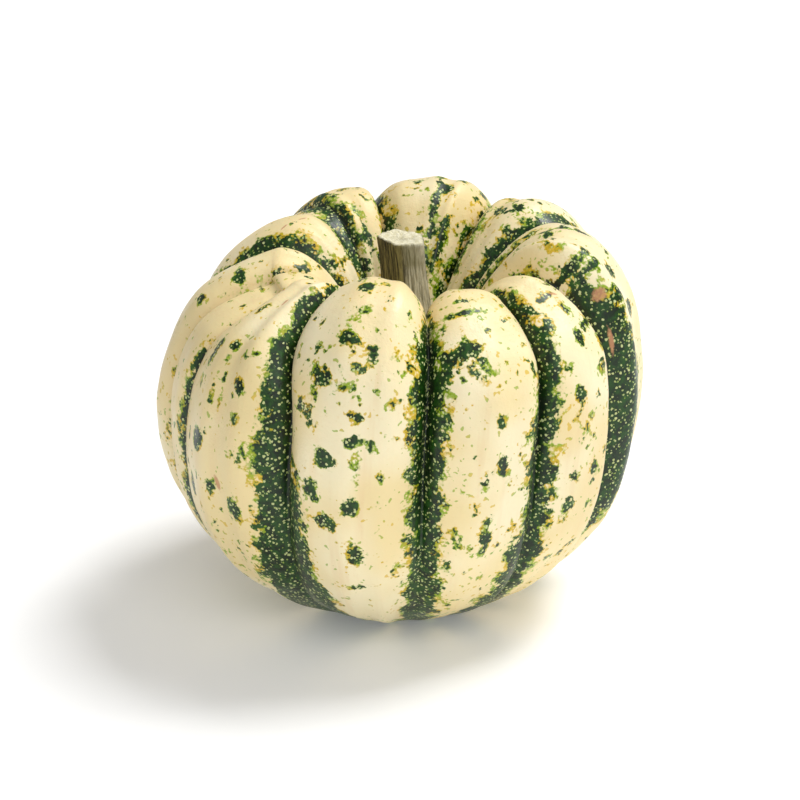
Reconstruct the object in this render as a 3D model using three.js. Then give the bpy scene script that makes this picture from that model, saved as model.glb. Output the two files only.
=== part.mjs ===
// Sweet dumpling squash: a ribbed fruit and the stub of its stalk.
// Millimetres, +Z up, standing on the blossom end, origin under the middle of the fruit.
// Azimuths are degrees round the stalk: 0 faces -Y and 90 faces +X.
import * as THREE from 'three';

// ---- driving dimensions ----
const footRadius = 22;          // flat patch round the blossom end
const crownHeight = 98.5;       // top of an average rib
const seatHeight = 68.5;        // floor of the hollow that the stalk grows from
const seatRadius = 10.5;
const creaseDepth = 8.5;        // deepest crease between two ribs
const crownLean = { x: 4.7, y: -4.1 };   // how far the crown sits off the foot

// Half outline of an average rib, radius and height, from the foot to the seat.
const outline = [
  [footRadius, 0], [31.9, 5], [43, 12.5], [51.5, 22.3], [57.3, 34.2], [60, 48.9],
  [59.8, 66], [55.9, 82], [46.3, 94], [36.1, crownHeight], [27.8, 96], [20.7, 88.6],
  [15.3, 79.3], [11.9, 72], [seatRadius, seatHeight],
];

// Each rib runs from its own crease to the next one. cut is the depth of that crease
// as a share of creaseDepth; girth and crest swell the rib at its waist and its top;
// bend is how far, in degrees, that crease swings over above the waist.
const ribs = [
  { crease: -164, cut: 0.9, girth: 0, crest: 0.5, bend: 0 },
  { crease: -140, cut: 0.2, girth: -1.3, crest: -3.5, bend: 0 },
  { crease: -103, cut: 1, girth: 2, crest: -7, bend: 0 },
  { crease: -81, cut: 0.4, girth: -0.5, crest: -12, bend: 0 },
  { crease: -66, cut: 0.25, girth: 0.3, crest: -8, bend: 3 },
  { crease: -31, cut: 1, girth: -0.4, crest: -1, bend: -8 },
  { crease: 5.5, cut: 1, girth: -1.3, crest: -5, bend: 0 },
  { crease: 36.5, cut: 0.9, girth: -1, crest: -5.5, bend: 3 },
  { crease: 63, cut: 0.85, girth: 0, crest: 2, bend: 0 },
  { crease: 92, cut: 0.25, girth: 0.6, crest: -1, bend: 0 },
  { crease: 109, cut: 0.65, girth: 0, crest: 0.2, bend: 0 },
  { crease: 149, cut: 1, girth: 0, crest: 1.7, bend: 0 },
];
const waist = { at: 0.35, spread: 0.165 };   // shares of the way up the outline
const crest = { at: 0.72, spread: 0.13 };
const columnsPerRib = 8;
const outlineSteps = 30;
const squareness = 1.2;         // above 1 the ribs are flatter across and the creases tighter

const stalkGap = 0.3;           // between the seat and the stalk's foot
const stalkHeight = 27.6;
const stalkOutline = [
  [8.3, 0], [7.4, 2.2], [6.4, 6], [5.8, 12], [5.5, 18], [5.6, 24], [5.8, stalkHeight],
];
const stalkRidges = 5;
const ridgeHeight = 0.07;       // as a share of the stalk's radius
const stalkFoot = { x: 3.3, y: -2.1 };   // middle of the stalk's foot, from the fruit's axis
const stalkLean = { x: -2.2, y: 0.2 };   // how far its top sits off its foot
const cutSlope = 0.09;          // the cut face drops to the right
const stalkColumns = 20;

const toPoints = (pairs) => pairs.map(([radius, height]) => new THREE.Vector2(radius, height));
const bell = (share, { at, spread }) => Math.exp(-(((share - at) / spread) ** 2));

// The depth of a crease dies away towards the foot and on the last stretch to the seat.
function creaseShare(share, radius) {
  const risen = THREE.MathUtils.smoothstep(share, 0, 0.53);
  const seated = 1 - THREE.MathUtils.smoothstep(share, 0.93, 1);
  return risen * seated * Math.min(1, radius / footRadius);
}

// 0 on the ridge of a rib and 1 in its crease; ribs are rounder above than below.
function creaseProfile(across, share) {
  const roundness = 0.55 + 0.38 * THREE.MathUtils.smoothstep(share, 0, 0.59);
  const round = (1 - Math.sqrt(1 - roundness * across ** 2)) / (1 - Math.sqrt(1 - roundness));
  return round ** squareness;
}

const ribSwell = (rib, share) => rib.girth * bell(share, waist) + rib.crest * bell(share, crest);

// In a crease the swell is the mean of the two ribs beside it.
function ribShift(rib, besideRib, cut, along, share, radius) {
  const across = 2 * along - 1;
  const hollow = creaseProfile(across, share);
  const depth = creaseDepth * cut * creaseShare(share, radius);
  const own = ribSwell(rib, share);
  const shared = (own + ribSwell(besideRib, share)) / 2;
  return THREE.MathUtils.lerp(own, shared - depth, hollow);
}

// A lathed average rib, then every column is turned to its place across a rib and
// every point is pushed along the outline's normal, so that ribs and creases form.
function makeFruit() {
  const curve = new THREE.SplineCurve(toPoints(outline));
  const wall = curve.getSpacedPoints(outlineSteps);
  const points = [new THREE.Vector2(0, 0), ...wall, new THREE.Vector2(0, seatHeight)];
  const columns = ribs.length * columnsPerRib;
  const geometry = new THREE.LatheGeometry(points, columns);
  const position = geometry.getAttribute('position');

  for (let column = 0; column <= columns; column += 1) {
    const turned = column % columns;
    const index = Math.floor(turned / columnsPerRib);
    const rib = ribs[index];
    const nextRib = ribs[(index + 1) % ribs.length];
    const lastRib = ribs[(index + ribs.length - 1) % ribs.length];
    const span = (nextRib.crease - rib.crease + 360) % 360;
    const even = (turned % columnsPerRib) / columnsPerRib;
    const along = even - 0.08 * Math.sin(2 * Math.PI * even);
    const azimuth = THREE.MathUtils.degToRad(rib.crease + span * along);
    const besideRib = along < 0.5 ? lastRib : nextRib;
    const cut = THREE.MathUtils.lerp(rib.cut, nextRib.cut, THREE.MathUtils.smoothstep(along, 0, 1));
    const bend = THREE.MathUtils.degToRad(THREE.MathUtils.lerp(rib.bend, nextRib.bend, along));

    for (let row = 0; row < points.length; row += 1) {
      const place = points[row].clone();
      const share = (row - 1) / outlineSteps;
      if (share > 0 && share < 1) {
        const tangent = curve.getTangentAt(share);
        const shift = ribShift(rib, besideRib, cut, along, share, place.x);
        place.x += tangent.y * shift;
        place.y -= tangent.x * shift;
      }
      const turn = azimuth + bend * THREE.MathUtils.smoothstep(share, 0.45, 0.7);
      const leaning = (place.y / crownHeight) ** 2;
      position.setXYZ(
        column * points.length + row,
        place.x * Math.sin(turn) + crownLean.x * leaning,
        -place.x * Math.cos(turn) + crownLean.y * leaning,
        place.y,
      );
    }
  }
  geometry.computeVertexNormals();
  return geometry;
}

// A ridged, flared stub that leans a little and ends in a sloping cut.
function makeStalk() {
  const outer = toPoints(stalkOutline);
  const points = [new THREE.Vector2(0, 0), ...outer, new THREE.Vector2(0, stalkHeight)];
  const geometry = new THREE.LatheGeometry(points, stalkColumns);
  geometry.rotateX(Math.PI / 2);
  const position = geometry.getAttribute('position');

  for (let i = 0; i < position.count; i += 1) {
    const azimuth = Math.atan2(position.getX(i), -position.getY(i));
    const up = position.getZ(i) / stalkHeight;
    const ridge = 1 + ridgeHeight * Math.cos(stalkRidges * azimuth);
    const x = position.getX(i) * ridge;
    const y = position.getY(i) * ridge;
    position.setXYZ(
      i,
      x + stalkFoot.x + stalkLean.x * up,
      y + stalkFoot.y + stalkLean.y * up,
      position.getZ(i) - cutSlope * x * up,
    );
  }
  geometry.translate(0, 0, seatHeight + stalkGap);
  geometry.computeVertexNormals();
  return geometry;
}

const rind = new THREE.MeshStandardMaterial({ color: 0xeedfb2, roughness: 0.42, metalness: 0 });
const dryStalk = new THREE.MeshStandardMaterial({ color: 0x8d8868, roughness: 0.85, metalness: 0 });

const fruit = new THREE.Mesh(makeFruit(), rind);
fruit.name = 'fruit';
const stem = new THREE.Mesh(makeStalk(), dryStalk);
stem.name = 'stem';

// The fruit's box is centred over the origin.
fruit.geometry.computeBoundingBox();
const middle = fruit.geometry.boundingBox.getCenter(new THREE.Vector3());
const squash = new THREE.Group();
squash.name = 'sweet_dumpling_squash';
squash.position.set(-middle.x, -middle.y, 0);
squash.add(fruit, stem);

export default squash;
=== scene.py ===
import math

import bmesh
import bpy
from mathutils import Matrix, Vector, noise


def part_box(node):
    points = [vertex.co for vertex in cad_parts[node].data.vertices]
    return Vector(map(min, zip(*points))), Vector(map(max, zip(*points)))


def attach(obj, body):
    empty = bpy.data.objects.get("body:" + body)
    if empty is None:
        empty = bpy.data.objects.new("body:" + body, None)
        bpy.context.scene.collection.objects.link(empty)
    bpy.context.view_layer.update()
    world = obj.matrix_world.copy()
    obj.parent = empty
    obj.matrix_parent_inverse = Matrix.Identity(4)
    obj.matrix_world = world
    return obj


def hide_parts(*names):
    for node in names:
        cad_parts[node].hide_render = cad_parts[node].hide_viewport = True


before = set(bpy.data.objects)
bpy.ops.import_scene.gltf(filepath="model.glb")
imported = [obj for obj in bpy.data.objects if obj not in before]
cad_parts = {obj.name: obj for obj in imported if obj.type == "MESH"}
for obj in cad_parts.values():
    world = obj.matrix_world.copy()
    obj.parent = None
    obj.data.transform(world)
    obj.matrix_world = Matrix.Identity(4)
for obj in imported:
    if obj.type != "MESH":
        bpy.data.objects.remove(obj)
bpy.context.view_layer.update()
fruitLow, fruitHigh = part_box("fruit")
stemLow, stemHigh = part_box("stem")
print("frame loaded")


def smoothStep(low, high, value):
    t = min(max((value - low) / (high - low), 0.0), 1.0)
    return t * t * (3 - 2 * t)


def bell(value, middle, spread):
    return math.exp(-((value - middle) / spread) ** 2)


def mix(a, b, t):
    return a + (b - a) * t


def keyed(keys, values, place):   # smooth reading of a few values along a few places
    for i in range(len(keys) - 1):
        if place <= keys[i + 1]:
            return mix(values[i], values[i + 1], smoothStep(keys[i], keys[i + 1], place))
    return values[-1]


# A smooth curve through the points, evenly spaced along its length, and that length.
def smoothChain(points, steps):
    spots = [Vector(p) for p in points]
    spots = [spots[0] * 2 - spots[1], *spots, spots[-1] * 2 - spots[-2]]
    fine = []
    for i in range(1, len(spots) - 2):
        a, b, c, d = spots[i - 1:i + 3]
        for k in range(40):
            t = k / 40
            fine.append(0.5 * (2 * b + (c - a) * t + (2 * a - 5 * b + 4 * c - d) * t * t
                               + (3 * b - a - 3 * c + d) * t ** 3))
    fine.append(spots[-2])
    lengths = [0.0]
    for one, two in zip(fine, fine[1:]):
        lengths.append(lengths[-1] + (two - one).length)
    chain, walked = [], 0
    for k in range(steps + 1):
        want = lengths[-1] * k / steps
        while walked < len(lengths) - 2 and lengths[walked + 1] < want:
            walked += 1
        gap = lengths[walked + 1] - lengths[walked]
        chain.append(fine[walked].lerp(fine[walked + 1], (want - lengths[walked]) / gap))
    return chain, lengths[-1]


def settle(bm, boxLow, boxHigh):   # from millimetres to metres, centred in a CAD box and on its floor
    unit = (fruitHigh.x - fruitLow.x) / fruit["span"]
    low = Vector(min(v.co[i] for v in bm.verts) for i in range(3))
    high = Vector(max(v.co[i] for v in bm.verts) for i in range(3))
    middle = (boxLow + boxHigh) / 2
    move = Vector((middle.x - unit * (low.x + high.x) / 2, middle.y - unit * (low.y + high.y) / 2,
                   boxLow.z - unit * low.z))
    bmesh.ops.transform(bm, matrix=Matrix.Translation(move) @ Matrix.Scale(unit, 4), verts=bm.verts)


def finishMesh(bm, name, attributes):
    bmesh.ops.remove_doubles(bm, verts=bm.verts, dist=1e-7)
    bmesh.ops.recalc_face_normals(bm, faces=bm.faces)
    for face in bm.faces:
        face.smooth = True
    mesh = bpy.data.meshes.new(name)
    bm.to_mesh(mesh)
    bm.free()
    piece = bpy.data.objects.new(name, mesh)
    bpy.context.scene.collection.objects.link(piece)
    print(name, len(mesh.polygons), "faces,", ", ".join(attributes))
    return piece


fruit = {
    "span": 122.34,            # millimetres across the CAD fruit; everything below is in millimetres
    "underside": [(0, 2.6), (3, 2.5), (7, 1.7), (13, 0.5), (18.5, 0.02)],
    "outline": [(22, 0), (31.9, 5), (43, 12.5), (51.5, 22.3), (57.3, 34.2), (60, 48.9), (59.8, 66),
                (55.9, 82), (46.3, 94), (36.1, 98.5), (27.8, 96), (20.7, 88.6), (15.3, 79.3),
                (11.9, 72), (10.5, 68.5)],
    "seat": [(7, 67.9), (0, 67.8)],
    "crown": 98.5,
    "footRadius": 22,
    "skinRadius": 60,          # of the cylinder that the skin attribute is laid out on
    "waist": (0.35, 0.165),    # middle and spread, as shares of the way up
    "crest": (0.72, 0.13),
    "lean": (4.7, -4.1),
    "creaseDepth": 8.5,
    "squareness": 1.2,         # above 1 the ribs are flatter across and the creases tighter
    "rows": 250,
    "columns": 360,
    "facets": 1.4,             # long shallow flats down each rib
    "lumps": 0.9,
    "dimples": 0.16,
    "creaseWander": 0.7,       # degrees
}

# One entry for each rib, from its own crease to the next. cut is the crease's depth as a share,
# girth and crest swell the rib at its waist and top, bend swings the crease over by degrees
# above the waist, and left and right are how far the green reaches from the crease, in
# millimetres, at the heights in stripeHeights.
stripeHeights = (0.0, 0.22, 0.36, 0.48, 0.6, 0.72, 0.96)
ribs = [
    {"crease": -164.0, "cut": 0.9, "girth": 0.0, "crest": 0.5, "bend": 0,
     "left": (3, 4, 4, 3, 2, 2, 1.5), "right": (3, 4, 3, 2, 1.5, 1.5, 1)},
    {"crease": -140.0, "cut": 0.2, "girth": -1.3, "crest": -3.5, "bend": 0,
     "left": (1, 1, 0.5, 0.5, 1, 1.5, 1), "right": (3, 2, 1.5, 2.5, 3.5, 4, 3)},
    {"crease": -103.0, "cut": 1, "girth": 2.0, "crest": -7.0, "bend": 0,
     "left": (4, 5, 4.5, 4.5, 4.5, 5, 2), "right": (2, 2, 1, 0.3, 0.2, 0.3, 0.3)},
    {"crease": -81.0, "cut": 0.4, "girth": -0.5, "crest": -12.0, "bend": 0,
     "left": (2, 1.5, 0.5, -1, -1, -0.5, 0), "right": (2, 2, 0.5, -1, -1, -0.5, 0)},
    {"crease": -66.0, "cut": 0.25, "girth": 0.3, "crest": -8.0, "bend": 3,
     "left": (2, 2, 1.5, 2.5, -1, -1, -0.5), "right": (2, 3, 1, -0.5, -1, -1, -0.5)},
    {"crease": -31.0, "cut": 1, "girth": -0.4, "crest": -1.0, "bend": -8,
     "left": (9, 9, 7, 6.5, 5, 5.5, 1.5), "right": (10, 9, 6, 0, 0, 0, 0)},
    {"crease": 5.5, "cut": 1, "girth": -1.3, "crest": -5.0, "bend": 0,
     "left": (3, 3.5, 3.5, 4, 4.5, 0.5, 0.5), "right": (5, 5.5, 4.5, 4.5, 3.5, 0.5, 0.5)},
    {"crease": 36.5, "cut": 0.9, "girth": -1.0, "crest": -5.5, "bend": 3,
     "left": (6, 6.5, 4, 6, 0, 0, 0), "right": (4, 3.5, 4, 3, 4, 2.5, 0.5)},
    {"crease": 63.0, "cut": 0.85, "girth": 0.0, "crest": 2.0, "bend": 0,
     "left": (0.5, 0, -0.5, -1, -1, -0.5, 0), "right": (1.5, 2, 11, 14, 7, 0.5, 0)},
    {"crease": 92.0, "cut": 0.25, "girth": 0.6, "crest": -1.0, "bend": 0,
     "left": (2, 2, 1, 0, 0, 0.3, 0.8), "right": (2, 2, 1, 0.5, 0.5, 1, 2)},
    {"crease": 109.0, "cut": 0.65, "girth": 0.0, "crest": 0.2, "bend": 0,
     "left": (1, 1, 0.5, 0, 0, 0.3, 0.8), "right": (4, 5, 4, 4, 4.5, 5.5, 3)},
    {"crease": 149.0, "cut": 1, "girth": 0.0, "crest": 1.7, "bend": 0,
     "left": (3, 3, 2, 1, 0.5, 0.8, 1.5), "right": (3, 4, 3, 1, 0.5, 0.8, 1.5)},
]

# Green marks that stand alone: azimuth, share of the way up, half width and half length.
marks = [
    (-19, 0.46, 2.2, 2.3), (-12, 0.49, 1.5, 1.5), (-11, 0.46, 1.2, 3), (-18.5, 0.58, 1.8, 1.5),
    (-14, 0.57, 1.2, 0.9), (-15, 0.64, 1.5, 1.7), (-11, 0.6, 1, 1.1), (-8, 0.49, 0.9, 1.3),
    (-11, 0.31, 1.9, 2.8), (-12, 0.39, 1.5, 2.2), (-22, 0.41, 1.7, 2.2),
    (-18, 0.36, 2.1, 2.4), (-21, 0.57, 0.8, 2.6), (-22.5, 0.53, 0.8, 2.4),
    (-3, 0.55, 1, 0.9), (-5, 0.44, 1, 1.3), (-11, 0.53, 1.1, 1.1),
    (-12.5, 0.64, 0.9, 0.9), (-13, 0.735, 0.8, 1.5), (-11, 0.7, 0.7, 2), (-14.5, 0.675, 0.7, 1.5),
    (-6, 0.72, 0.8, 0.7),
    (-8, 0.63, 0.9, 0.8), (-3, 0.62, 1, 0.8), (1, 0.61, 0.8, 0.7), (14.5, 0.63, 2.8, 2.2),
    (18, 0.61, 1.2, 1), (20.5, 0.33, 0.9, 4.4), (24, 0.44, 1.3, 2.4), (16, 0.705, 3.2, 0.8),
    (23, 0.51, 1, 1.5), (19, 0.42, 1, 1.5), (19.5, 0.585, 1.3, 2), (16, 0.735, 2.8, 0.7),
    (30, 0.68, 1.5, 0.8), (9.5, 0.62, 2, 2.4), (46, 0.52, 1.2, 2.1), (54.5, 0.62, 1.3, 1.7),
    (50, 0.61, 1.1, 2), (45, 0.34, 1.4, 3), (46, 0.39, 1.1, 1.7), (53, 0.39, 1.2, 1.7),
    (48, 0.7, 2, 1.1),
    (52, 0.66, 1, 2.8), (42.5, 0.65, 1.4, 2), (58.5, 0.58, 1.3, 1.9), (56, 0.55, 1, 1.3),
    (43, 0.57, 0.9, 1.1), (50, 0.48, 0.8, 1.1), (-43, 0.54, 1.5, 1.3), (-58, 0.575, 1.2, 2.8),
    (-43, 0.49, 1.1, 1.3), (-41, 0.44, 1.1, 1.5), (-55, 0.44, 2.4, 2.8), (-43, 0.34, 1.8, 2.8),
    (-61, 0.66, 0.8, 2.3), (-55, 0.66, 0.7, 1.2), (-51, 0.59, 0.8, 1), (-50, 0.37, 1.3, 1.8),
    (-60, 0.35, 1.5, 2.3), (-88, 0.675, 1.3, 1.1), (-84.5, 0.67, 1.5, 1.1), (-78, 0.7, 1.8, 0.7),
    (-89, 0.64, 1.3, 0.8), (-86, 0.6, 1, 1.3), (-116, 0.76, 0.8, 0.7), (-108, 0.78, 0.9, 0.8),
    (-150, 0.74, 1.1, 0.8), (-148, 0.84, 0.8, 4.6), (-131, 0.705, 4.2, 0.8), (-142, 0.72, 1.5, 1.7),
    (169, 0.83, 0.8, 9), (160, 0.87, 0.9, 4.5), (166, 0.775, 1.4, 1.8), (162, 0.74, 1.1, 0.9),
    (161, 0.79, 0.8, 0.9), (154, 0.72, 0.9, 1.5), (170, 0.75, 0.7, 0.9),
    (126, 0.78, 1.7, 0.8), (136, 0.8, 0.6, 4.6), (141, 0.84, 0.6, 6.5), (131, 0.78, 0.7, 3.6),
    (120, 0.77, 0.8, 0.8), (114, 0.72, 1.5, 1.1), (104, 0.74, 1.1, 0.9), (97, 0.72, 1.5, 0.8),
    (97, 0.78, 0.6, 8), (91, 0.8, 0.6, 6.5), (86, 0.78, 1, 1.5), (80, 0.77, 1.2, 0.8),
    (72, 0.715, 1.4, 1.2), (75.5, 0.665, 1.9, 1.9), (70, 0.63, 1.5, 1.9), (68, 0.69, 2.4, 1.3),
    (64.5, 0.715, 2.4, 1.5), (76, 0.6, 1.7, 2.2), (70, 0.58, 1.8, 1.5), (69, 0.76, 0.6, 1.9),
]


def creaseShare(share, radius):   # a crease dies away towards the foot and at the seat
    risen = smoothStep(0, 0.53, share)
    seated = 1 - smoothStep(0.93, 1, share)
    inside = min(1, radius / fruit["footRadius"])
    return max(risen * seated * inside, 0.05 * seated * inside)


def creaseProfile(across, share):   # 0 on the ridge of a rib and 1 in its crease
    roundness = 0.55 + 0.38 * smoothStep(0, 0.59, share)
    rounded = (1 - math.sqrt(1 - roundness * across ** 2)) / (1 - math.sqrt(1 - roundness))
    return rounded ** fruit["squareness"]


def ribSwell(rib, share):
    waist, crest = bell(share, *fruit["waist"]), bell(share, *fruit["crest"])
    return rib["girth"] * waist + rib["crest"] * crest


def ribPlace(theta):   # which rib an even column falls on, and how far across it
    turned = theta
    edges = [round(rib["crease"]) for rib in ribs]
    if turned < edges[0]:
        turned += 360
    edges.append(edges[0] + 360)
    for i in range(len(ribs)):
        if turned <= edges[i + 1]:
            even = (turned - edges[i]) / (edges[i + 1] - edges[i])
            along = even - 0.08 * math.sin(2 * math.pi * even)
            end = ribs[(i + 1) % len(ribs)]["crease"]
            span = (end - ribs[i]["crease"]) % 360
            return i, along, ribs[i]["crease"] + span * along


def stripeEdge(index, azimuth, share, radius):   # millimetres inside (+) or outside the green
    reach = -40.0
    for k, side in ((index, "right"), ((index + 1) % len(ribs), "left")):
        off = abs((azimuth - ribs[k]["crease"] + 180) % 360 - 180)
        width = keyed(stripeHeights, ribs[k][side], share)
        reach = max(reach, width - math.radians(off) * radius)
    for markAzimuth, markShare, halfWidth, halfLength in marks:
        rise = (share - markShare) * fruit["length"] / halfLength
        if abs(rise) < 3:
            off = (azimuth - markAzimuth + 180) % 360 - 180
            aside = math.radians(off) * radius / halfWidth
            reach = max(reach, (1.2 - math.hypot(rise, aside)) * min(halfWidth, halfLength) * 2.2)
    return reach


def makeFruit():
    steps = fruit["rows"]
    wall = fruit["outline"]
    fruit["length"] = smoothChain(wall, 400)[1]
    below = smoothChain([*fruit["underside"], wall[0]], 100)[1]
    chain, whole = smoothChain([*fruit["underside"], *wall, *fruit["seat"]], steps)

    bm = bmesh.new()
    shareLayer = bm.verts.layers.float.new("share")
    normalLayer = bm.verts.layers.float_vector.new("push")
    spots = []
    for k, point in enumerate(chain):
        after, before = chain[min(k + 1, steps)], chain[max(k - 1, 0)]
        along = (after - before).normalized()
        vert = bm.verts.new((0, -point.x, point.y))
        vert[shareLayer] = (whole * k / steps - below) / fruit["length"]
        vert[normalLayer] = Vector((along.y, -along.x, 0))
        spots.append(vert)
    edges = [bm.edges.new(pair) for pair in zip(spots, spots[1:])]
    bmesh.ops.spin(bm, geom=[*spots, *edges], cent=(0, 0, 0), axis=(0, 0, 1), dvec=(0, 0, 0),
                   angle=2 * math.pi, steps=fruit["columns"], use_merge=True, use_duplicate=False)
    bmesh.ops.remove_doubles(bm, verts=bm.verts, dist=1e-4)

    skinLayer = bm.verts.layers.float_vector.new("skin")
    stripeLayer = bm.verts.layers.float.new("stripe")
    hollowLayer = bm.verts.layers.float.new("hollow")
    for vert in bm.verts:
        share, push = vert[shareLayer], vert[normalLayer]
        radius, height = math.hypot(vert.co.x, vert.co.y), vert.co.z
        theta = math.degrees(math.atan2(vert.co.x, -vert.co.y))
        index, across, azimuth = ribPlace(theta)
        rib, nextRib = ribs[index], ribs[(index + 1) % len(ribs)]
        hollow = creaseProfile(2 * across - 1, share)
        cut = mix(rib["cut"], nextRib["cut"], smoothStep(0, 1, across))
        depth = fruit["creaseDepth"] * cut * creaseShare(share, radius)
        beside = ribs[index - 1] if across < 0.5 else nextRib
        own = ribSwell(rib, share)
        swell = mix(own, (own + ribSwell(beside, share)) / 2, hollow)
        angle = math.radians(azimuth)
        arc = share * fruit["length"]
        around = fruit["skinRadius"]
        skin = Vector((around * math.sin(angle), -around * math.cos(angle), arc))
        calm = smoothStep(0, 14, radius) * (1 - smoothStep(0.95, 1, share))
        facet = noise.noise(Vector((skin.x / 8, skin.y / 8, arc / 75 + 7)))
        lump = noise.noise(Vector((skin.x, skin.y, height)) / 22)
        dimple = noise.noise(Vector((skin.x, skin.y, arc)) / 6.5)
        relief = fruit["facets"] * facet * (1 - hollow) + fruit["lumps"] * lump
        relief += fruit["dimples"] * dimple
        shift = swell - depth * hollow + relief * calm * smoothStep(-0.02, 0.12, share)
        radius += push.x * shift
        height += push.y * shift
        wander = fruit["creaseWander"] * noise.noise(Vector((rib["crease"], share * 3.5, 0)))
        nextWander = fruit["creaseWander"] * noise.noise(Vector((nextRib["crease"], share * 3.5, 0)))
        angle += math.radians(mix(wander, nextWander, across)) * smoothStep(0.05, 0.3, share)
        bend = mix(rib["bend"], nextRib["bend"], across)
        angle += math.radians(bend) * smoothStep(0.45, 0.7, share)
        leaning = (height / fruit["crown"]) ** 2
        vert.co = Vector((radius * math.sin(angle) + fruit["lean"][0] * leaning,
                          -radius * math.cos(angle) + fruit["lean"][1] * leaning, height))
        vert[skinLayer] = skin
        vert[stripeLayer] = stripeEdge(index, azimuth, share, max(radius, 8))
        vert[hollowLayer] = hollow * creaseShare(share, radius)

    settle(bm, fruitLow, fruitHigh)
    bm.verts.layers.float_vector.remove(bm.verts.layers.float_vector["push"])
    return finishMesh(bm, "squashFruit", ("skin", "stripe", "hollow"))


stalk = {
    "outline": [(0, 0), (8.4, 0), (8.2, 0.5), (7.4, 2.4), (6.5, 5.5), (5.9, 10), (5.6, 16), (5.55, 22),
                (5.7, 26.2), (5.75, 27.3), (5.3, 27.8), (4.2, 27.7), (2.2, 27.3), (0, 27.2)],
    "height": 27.6,
    "ridges": 5,
    "ridgeHeight": 0.09,
    "fibres": 0.16,
    "columns": 160,
    "rows": 110,
    "foot": (3.3, -2.1),       # from the fruit's axis
    "lean": (-2.2, 0.2),
    "cutSlope": 0.09,
}


def makeStalk():
    chain = smoothChain(stalk["outline"], stalk["rows"])[0]
    bm = bmesh.new()
    spots = [bm.verts.new((0, -p.x, p.y)) for p in chain]
    edges = [bm.edges.new(pair) for pair in zip(spots, spots[1:])]
    bmesh.ops.spin(bm, geom=[*spots, *edges], cent=(0, 0, 0), axis=(0, 0, 1), dvec=(0, 0, 0),
                   angle=2 * math.pi, steps=stalk["columns"], use_merge=True, use_duplicate=False)
    bmesh.ops.remove_doubles(bm, verts=bm.verts, dist=1e-4)
    grainLayer = bm.verts.layers.float_vector.new("grain")
    cutLayer = bm.verts.layers.float.new("cutFace")
    for vert in bm.verts:
        angle = math.atan2(vert.co.x, -vert.co.y)
        radius, height = math.hypot(vert.co.x, vert.co.y), vert.co.z
        up = height / stalk["height"]
        around = Vector((math.sin(angle), -math.cos(angle), 0))
        twist = angle + 0.25 * up
        sharp = 1 - abs(math.sin(stalk["ridges"] * twist / 2)) ** 0.8
        ridge = 1 + stalk["ridgeHeight"] * (2 * sharp - 0.75) * (1 + 0.6 * bell(up, 0, 0.25))
        fibre = noise.noise(Vector((around.x * 9, around.y * 9, height / 14)))
        fibre += 0.6 * noise.noise(Vector((around.x * 20, around.y * 20, height / 7)))
        rough = noise.noise(vert.co * 0.9) + 0.6 * noise.noise(vert.co * 2.3)
        onCut = smoothStep(0.965, 0.99, up) * (1 - smoothStep(5.2, 5.7, radius))
        side = smoothStep(1.5, 4, radius) * smoothStep(0.01, 0.06, up)
        radius = radius * (1 + (ridge - 1) * side) + stalk["fibres"] * fibre * side * (1 - onCut)
        x, y = radius * around.x, radius * around.y
        top = smoothStep(0.8, 1, up)
        vert.co = Vector((x + stalk["foot"][0] + stalk["lean"][0] * up,
                          y + stalk["foot"][1] + stalk["lean"][1] * up,
                          height - stalk["cutSlope"] * x * up + 0.35 * rough * top))
        vert[grainLayer] = Vector((around.x * 5.5, around.y * 5.5, height))
        vert[cutLayer] = onCut
    settle(bm, stemLow, stemHigh)
    return finishMesh(bm, "squashStalk", ("grain", "cutFace"))


class Paint:   # builds a node material a line at a time
    def __init__(self, name):
        self.material = bpy.data.materials.new(name)
        self.material.use_nodes = True
        self.tree = self.material.node_tree
        self.tree.nodes.clear()

    def node(self, kind, inputs=(), out=0, **settings):
        made = self.tree.nodes.new(kind)
        for key, value in settings.items():
            setattr(made, key, value)
        for key, value in dict(inputs).items():
            if isinstance(value, bpy.types.NodeSocket):
                self.tree.links.new(value, made.inputs[key])
            else:
                made.inputs[key].default_value = value
        return made.outputs[out] if made.outputs else None

    def attribute(self, name, out="Fac"):
        return self.node("ShaderNodeAttribute", out=out, attribute_name=name)

    def math(self, operation, a, b=0.0, c=0.0):
        return self.node("ShaderNodeMath", {0: a, 1: b, 2: c}, operation=operation)

    def step(self, value, low, high, toLow=0.0, toHigh=1.0):
        inputs = {"Value": value, "From Min": low, "From Max": high, "To Min": toLow, "To Max": toHigh}
        return self.node("ShaderNodeMapRange", inputs, interpolation_type="SMOOTHSTEP")

    def noise(self, where, scale, detail=2.0, roughness=0.5):
        inputs = {"Vector": where, "Scale": scale, "Detail": detail, "Roughness": roughness}
        return self.node("ShaderNodeTexNoise", inputs, out="Fac")

    def cells(self, where, scale, out="Distance"):
        return self.node("ShaderNodeTexVoronoi", {"Vector": where, "Scale": scale}, out=out)

    def stretch(self, where, scale):
        return self.node("ShaderNodeMapping", {"Vector": where, "Scale": scale})

    def blend(self, share, one, two):
        inputs = {"Factor": share, 6: one, 7: two}
        return self.node("ShaderNodeMix", inputs, out=2, data_type="RGBA")


def colour(red, green, blue):   # from the 0 to 255 numbers of a colour picker
    def linear(value):
        v = value / 255
        return v / 12.92 if v <= 0.04045 else ((v + 0.055) / 1.055) ** 2.4
    return (linear(red), linear(green), linear(blue), 1)


rind = {
    "cream": (247, 234, 194),
    "butter": (239, 218, 162),
    "peach": (232, 202, 152),
    "green": (28, 74, 8),
    "deepGreen": (9, 31, 4),
    # painted shade for the bottom of the deep creases
    "paintedCreaseShadeGreen": (6, 17, 5),
    "leafGreen": (62, 100, 22),
    "lime": (142, 170, 20),
    "mustard": (216, 180, 34),
    "speck": (130, 160, 46),
    "paleSpeck": (216, 222, 156),
    "cork": (202, 146, 108),
}

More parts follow.
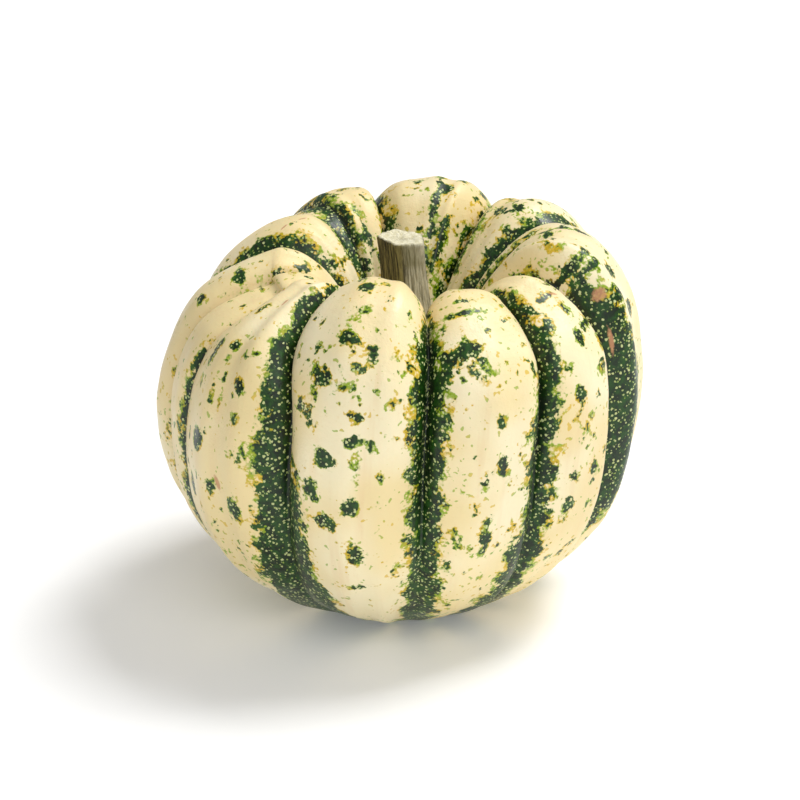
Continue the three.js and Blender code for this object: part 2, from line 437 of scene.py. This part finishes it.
# Corky scars: azimuth, share of the way up, half width, half length and turn in degrees.
scars = [
    (-122, 0.77, 0.5, 2, 60), (-114, 0.75, 0.5, 1.9, 70), (-97, 0.64, 0.7, 2.9, 65),
    (-59, 0.73, 0.6, 2.8, 75), (-48, 0.7, 0.9, 2.2, 10), (-28, 0.7, 0.9, 3.8, -30),
    (53, 0.7, 0.7, 2.5, 70), (66.5, 0.65, 1.6, 1.9, 0), (65.5, 0.57, 0.5, 4.5, 0),
    (-48, 0.38, 0.8, 2.5, 15),
]


def makeRind():
    p = Paint("speckledRind")
    place = p.node("ShaderNodeTexCoord", out="Object")
    mm = p.stretch(place, (1000, 1000, 1000))
    skin = p.attribute("skin", "Vector")
    stripe = p.attribute("stripe")
    hollow = p.attribute("hollow")

    # cream ground, warmer in patches, with painted shade in peach towards the creases
    broad = p.noise(mm, 0.035, 2)
    streaky = p.noise(p.stretch(skin, (1, 1, 0.12)), 0.25, 3, 0.6)
    ground = p.blend(p.step(broad, 0.35, 0.62), colour(*rind["cream"]), colour(*rind["butter"]))
    streaks = p.math("MULTIPLY", p.step(streaky, 0.5, 0.75), p.step(hollow, 0.3, 0.0, 0.0, 0.4))
    ground = p.blend(streaks, ground, colour(*rind["peach"]))
    # painted shade: the ground turns peach deeper in each crease
    paintedCreaseShade = p.math("MULTIPLY", p.step(hollow, 0.15, 1.0), 0.4)
    ground = p.blend(paintedCreaseShade, ground, colour(*rind["peach"]))
    mottle = p.noise(mm, 0.9, 4, 0.65)
    mottled = p.math("MULTIPLY", p.step(mottle, 0.55, 0.8), 0.35)
    ground = p.blend(mottled, ground, colour(*rind["butter"]))

    # green: bands in the creases with torn edges, and scattered flecks
    torn = p.noise(mm, 0.24, 1.5)
    chips = p.noise(mm, 1.05, 1)
    edge = p.math("MULTIPLY_ADD", p.math("SUBTRACT", torn, 0.5), 9.0, stripe)
    edge = p.math("MULTIPLY_ADD", p.math("SUBTRACT", chips, 0.5), 5.0, edge)
    fleckField = p.noise(p.stretch(mm, (1, 1, 0.72)), 0.3, 1)
    crowd = p.noise(mm, 0.05, 1)
    fleck = p.math("SUBTRACT", fleckField, p.step(crowd, 0.35, 0.65, 0.745, 0.665))
    fleck = p.math("MULTIPLY_ADD", p.math("SUBTRACT", chips, 0.5), 6.0, p.math("MULTIPLY", fleck, 18.0))
    field = p.math("MAXIMUM", edge, fleck)
    green = p.step(field, -0.15, 0.25)
    fringe = p.step(field, -1.15, -0.3)
    fringe = p.math("MULTIPLY", fringe, p.step(p.noise(mm, 0.3, 1), 0.38, 0.55, 0.1, 0.95))

    age = p.noise(mm, 0.18, 2)
    young = p.blend(p.step(age, 0.42, 0.6), colour(*rind["lime"]), colour(*rind["mustard"]))
    leaf = p.noise(mm, 0.5, 3, 0.6)
    dark = p.blend(p.step(leaf, 0.35, 0.7), colour(*rind["deepGreen"]), colour(*rind["green"]))
    dark = p.blend(p.step(field, 1.2, 0.1), dark, colour(*rind["leafGreen"]))
    half = p.step(p.noise(mm, 0.2, 1), 0.5, 0.56)   # some flecks never turned fully green
    loose = p.step(field, 1.3, 0.5)
    dark = p.blend(p.math("MULTIPLY", p.math("MULTIPLY", half, loose), 0.85), dark, young)
    # painted shade: the green darkens to near black deep in the creases
    dark = p.blend(p.step(hollow, 0.55, 0.95, 0.0, 0.75), dark, colour(*rind["paintedCreaseShadeGreen"]))

    # pale specks in the green
    dots = p.cells(mm, 1.05)
    size = p.node("ShaderNodeSeparateColor", {0: p.cells(mm, 1.05, out="Color")})
    dotEdge = p.math("SUBTRACT", p.math("MULTIPLY_ADD", size, 0.2, 0.2), dots)
    dotEdge = p.math("MULTIPLY_ADD", p.math("SUBTRACT", p.noise(mm, 2.2, 1), 0.5), 0.6, dotEdge)
    dot = p.step(dotEdge, -0.04, 0.08)
    dotColour = p.blend(size, colour(*rind["speck"]), colour(*rind["paleSpeck"]))
    dark = p.blend(p.math("MULTIPLY", dot, 0.85), dark, dotColour)

    # small mustard spots that never turned green
    spots = p.noise(mm, 0.62, 1)
    spots = p.math("SUBTRACT", spots, p.step(crowd, 0.35, 0.65, 0.7, 0.65))
    spots = p.math("MULTIPLY", p.step(spots, 0.0, 0.03), 0.75)
    ground = p.blend(spots, ground, young)

    skinColour = p.blend(fringe, ground, young)
    skinColour = p.blend(green, skinColour, dark)

    # corky scars
    cork = None
    for azimuth, share, halfWidth, halfLength, turn in scars:
        angle = math.radians(azimuth)
        around = fruit["skinRadius"]
        centre = Vector((around * math.sin(angle), -around * math.cos(angle),
                         share * fruit["length"]))
        near = p.node("ShaderNodeVectorMath", {0: skin, 1: centre}, operation="SUBTRACT")
        flat = p.node("ShaderNodeVectorRotate", {"Vector": near, "Angle": -angle}, rotation_type="Z_AXIS")
        flat = p.node("ShaderNodeVectorRotate", {"Vector": flat, "Angle": math.radians(turn)},
                      rotation_type="Y_AXIS")
        flat = p.stretch(flat, (1 / halfWidth, 0.3, 1 / halfLength))
        reach = p.node("ShaderNodeVectorMath", {0: flat}, out="Value", operation="LENGTH")
        cork = reach if cork is None else p.math("MINIMUM", cork, reach)
    flaky = p.noise(mm, 1.3, 4, 0.7)
    cork = p.math("MULTIPLY_ADD", p.math("SUBTRACT", flaky, 0.5), 1.3, cork)
    corky = p.step(cork, 1.1, 0.6)
    skinColour = p.blend(p.math("MULTIPLY", corky, 0.8), skinColour, colour(*rind["cork"]))

    # gloss and relief
    waxy = p.step(p.noise(mm, 0.12, 3), 0.3, 0.7, 0.34, 0.5)
    rough = p.math("MULTIPLY_ADD", green, -0.06, waxy)
    rough = p.math("MULTIPLY_ADD", corky, 0.35, rough)
    pores = p.noise(mm, 2.6, 2, 0.6)
    grain = p.noise(mm, 0.6, 3, 0.6)
    relief = p.math("MULTIPLY_ADD", pores, 0.08, p.math("MULTIPLY", grain, 0.28))
    relief = p.math("MULTIPLY_ADD", green, 0.05, relief)
    relief = p.math("MULTIPLY_ADD", dot, 0.03, relief)
    relief = p.math("MULTIPLY_ADD", p.math("MULTIPLY", corky, flaky), 0.35, relief)
    bump = p.node("ShaderNodeBump", {"Strength": 0.55, "Distance": 0.001, "Height": relief})
    surface = p.node("ShaderNodeBsdfPrincipled", {
        "Base Color": skinColour, "Roughness": rough, "Normal": bump,
        "Specular IOR Level": 0.4, "Subsurface Weight": 0.04, "Subsurface Scale": 0.002,
    })
    p.node("ShaderNodeOutputMaterial", {"Surface": surface})
    return p.material


def makeStalkWood():
    p = Paint("dryStalk")
    place = p.node("ShaderNodeTexCoord", out="Object")
    mm = p.stretch(place, (1000, 1000, 1000))
    grain = p.attribute("grain", "Vector")
    cutFace = p.attribute("cutFace")
    lines = p.noise(p.stretch(grain, (1, 1, 0.08)), 1.6, 5, 0.7)
    broad = p.noise(mm, 0.13, 2)
    wood = p.blend(p.step(lines, 0.35, 0.65), colour(124, 118, 94), colour(208, 202, 178))
    wood = p.blend(p.math("MULTIPLY", p.step(broad, 0.45, 0.65), 0.5), wood, colour(104, 100, 58))
    # painted shade: the stalk's left side, away from the key light, turns dark olive, streaked along the
    # grain
    sides = p.node("ShaderNodeSeparateXYZ", {0: grain}, out=0)
    paintedShadeOlive = p.blend(p.step(lines, 0.38, 0.62), colour(46, 42, 22), colour(132, 122, 76))
    wood = p.blend(p.step(sides, 1.2, -0.6), wood, paintedShadeOlive)
    pith = p.noise(mm, 1.1, 5, 0.7)
    pale = p.blend(p.step(pith, 0.35, 0.68), colour(222, 213, 174), colour(248, 242, 216))
    look = p.blend(cutFace, wood, pale)
    relief = p.math("MULTIPLY_ADD", p.noise(mm, 2.2, 4, 0.7), 0.3, p.math("MULTIPLY", lines, 0.7))
    bump = p.node("ShaderNodeBump", {"Strength": 0.8, "Distance": 0.001, "Height": relief})
    rough = p.step(lines, 0.2, 0.8, 0.72, 0.92)
    surface = p.node("ShaderNodeBsdfPrincipled", {
        "Base Color": look, "Roughness": rough, "Normal": bump, "Specular IOR Level": 0.25,
    })
    p.node("ShaderNodeOutputMaterial", {"Surface": surface})
    return p.material


stage = {
    "floorSize": 6.0,
    "cameraDistance": 0.8,
    "cameraElevation": 22.3,
    "lens": 141.3,
    "aim": (0.0001, 0.0026, 0.0513),
    "keyPlace": (2.0, 1.0, 3.9),
    "keySize": 1.8,
    "keyPower": 164.0,
    "fillPlace": (0.4, -1.3, 1.0),
    "fillSize": 1.2,
    "fillPower": 9.0,
    "sky": 0.34,
}


def makeFloor():
    bm = bmesh.new()
    bmesh.ops.create_grid(bm, x_segments=1, y_segments=1, size=stage["floorSize"] / 2)
    mesh = bpy.data.meshes.new("floor")
    bm.to_mesh(mesh)
    bm.free()
    floor = bpy.data.objects.new("floor", mesh)
    bpy.context.scene.collection.objects.link(floor)
    p = Paint("paleFloor")
    surface = p.node("ShaderNodeBsdfPrincipled", {"Base Color": (0.93, 0.93, 0.93, 1), "Roughness": 0.9,
                                               "Emission Color": (1, 1, 1, 1), "Emission Strength": 0.14})
    p.node("ShaderNodeOutputMaterial", {"Surface": surface})
    mesh.materials.append(p.material)


def aimAt(thing, target):
    direction = Vector(target) - thing.location
    thing.rotation_euler = direction.to_track_quat("-Z", "Y").to_euler()


def makeLight(name, place, size, power):
    lamp = bpy.data.lights.new(name, "AREA")
    lamp.size = size
    lamp.energy = power
    holder = bpy.data.objects.new(name, lamp)
    holder.location = place
    aimAt(holder, stage["aim"])
    bpy.context.scene.collection.objects.link(holder)


def makeCamera():
    tilt = math.radians(stage["cameraElevation"])
    camera = bpy.data.objects.new("camera", bpy.data.cameras.new("camera"))
    camera.data.lens = stage["lens"]
    camera.data.sensor_width = 36
    back = Vector((0, -math.cos(tilt), math.sin(tilt)))
    camera.location = Vector(stage["aim"]) + back * stage["cameraDistance"]
    aimAt(camera, stage["aim"])
    bpy.context.scene.collection.objects.link(camera)
    bpy.context.scene.camera = camera


def makeStage():
    makeFloor()
    makeLight("keyLight", stage["keyPlace"], stage["keySize"], stage["keyPower"])
    makeLight("fillLight", stage["fillPlace"], stage["fillSize"], stage["fillPower"])
    world = bpy.data.worlds.new("paleRoom")
    world.use_nodes = True
    background = world.node_tree.nodes["Background"]
    background.inputs["Color"].default_value = (1, 1, 1, 1)
    background.inputs["Strength"].default_value = stage["sky"]
    bpy.context.scene.world = world
    bpy.context.scene.view_settings.view_transform = "Standard"
    makeCamera()
    print("stage set")


fruitPiece = makeFruit()
fruitPiece.data.materials.append(makeRind())
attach(fruitPiece, "root")
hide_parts("fruit")
print("fruit done")

stalkPiece = makeStalk()
stalkPiece.data.materials.append(makeStalkWood())
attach(stalkPiece, "root")
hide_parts("stem")
print("stalk done")

makeStage()
